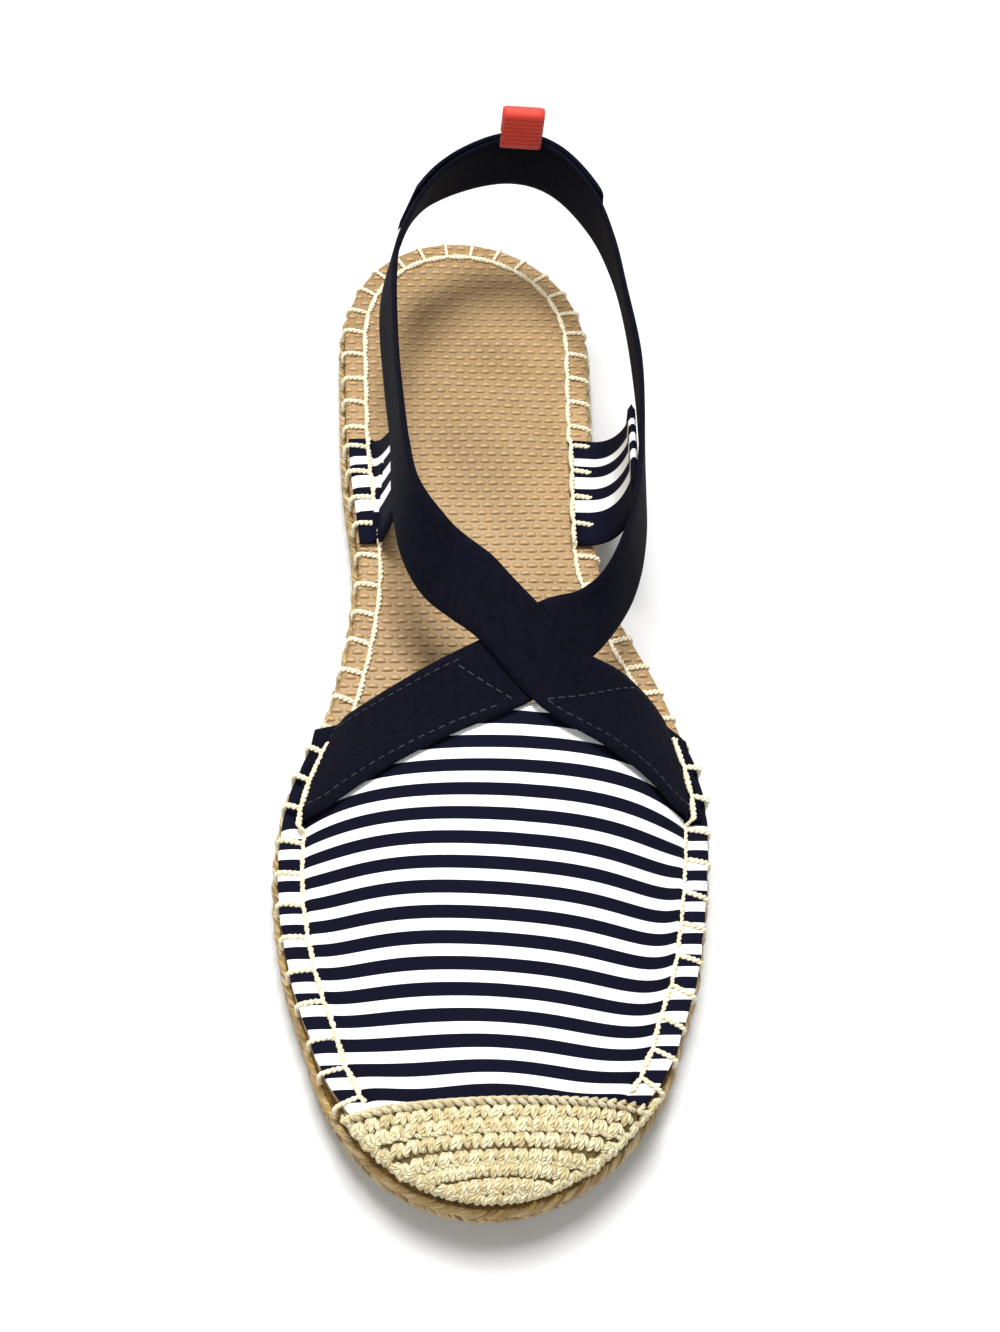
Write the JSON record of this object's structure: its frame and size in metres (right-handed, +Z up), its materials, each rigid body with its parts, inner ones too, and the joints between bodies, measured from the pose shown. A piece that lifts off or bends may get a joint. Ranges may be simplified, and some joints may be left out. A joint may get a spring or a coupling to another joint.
{
  "type": "espadrille",
  "caption": "Striped slingback espadrille, left foot: flat jute sole, tan footbed, navy and white upper, crochet toe cap, crossed elastic straps and a red pull loop.",
  "frame": {"origin": "on the floor, under the middle of the shoe's box", "axes": "+Z up, -Y towards the toe, +Y towards the heel, +X towards the outer side of the left foot"},
  "size_m": [0.0976, 0.2576, 0.0728],
  "materials": {
    "outsole_rubber": "matte",
    "jute": "coarse",
    "footbed_tan": "matte",
    "striped_cloth": "matte",
    "crochet_yarn": "matte",
    "navy_elastic": "matte",
    "red_ribbon": "satin"
  },
  "bodies": {
    "root": {"outsole": "outsole_rubber", "jute_midsole": "jute", "footbed": "footbed_tan", "upper": "striped_cloth", "toe_cap": "crochet_yarn", "cross_straps": "navy_elastic", "heel_patch": "striped_cloth", "side_tab_inner": "striped_cloth", "side_tab_outer": "striped_cloth", "pull_loop": "red_ribbon"}
  },
  "joints": []
}
